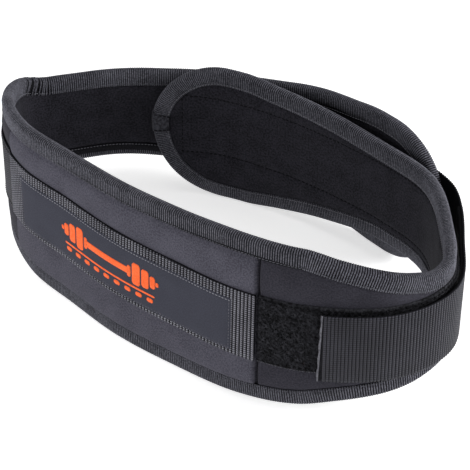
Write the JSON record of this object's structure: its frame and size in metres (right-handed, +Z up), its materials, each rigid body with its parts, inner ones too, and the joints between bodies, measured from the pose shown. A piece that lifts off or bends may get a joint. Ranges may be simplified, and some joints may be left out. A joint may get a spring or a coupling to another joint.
{
  "type": "weightlifting belt",
  "caption": "Padded weightlifting belt, wide at the back and at its round ends and narrow at the hips, bound with ribbed tape and fastened by a webbing strap with hook-and-loop tape.",
  "frame": {"origin": "on the ground under the middle of the belt's box, with the belt standing on its lower edge", "axes": "+Z up, +X to the wearer's right, along the loop's long side, -Y towards the belt's back part with the label patch"},
  "size_m": [0.3744, 0.2172, 0.124],
  "materials": {
    "band_knit": "matte close knit over foam",
    "brushed_lining": "matte brushed",
    "binding_tape": "matte, ribbed across",
    "panel_knit": "matte close knit",
    "back_webbing": "matte, ribbed across",
    "patch_cloth": "smooth, printed",
    "loop_pile": "fuzzy loop pile",
    "strap_webbing": "slight sheen, ribbed across",
    "hook_tape": "dull, fine hooks"
  },
  "bodies": {
    "root": {"padded_band": "band_knit", "inner_lining": "brushed_lining", "binding_upper": "binding_tape", "binding_lower": "binding_tape", "binding_inner_end": "binding_tape", "binding_outer_end": "binding_tape", "back_panel": "panel_knit", "back_webbing": "back_webbing", "label_patch": "patch_cloth", "loop_strip": "loop_pile", "closure_strap": "strap_webbing", "hook_tape": "hook_tape"}
  },
  "joints": []
}
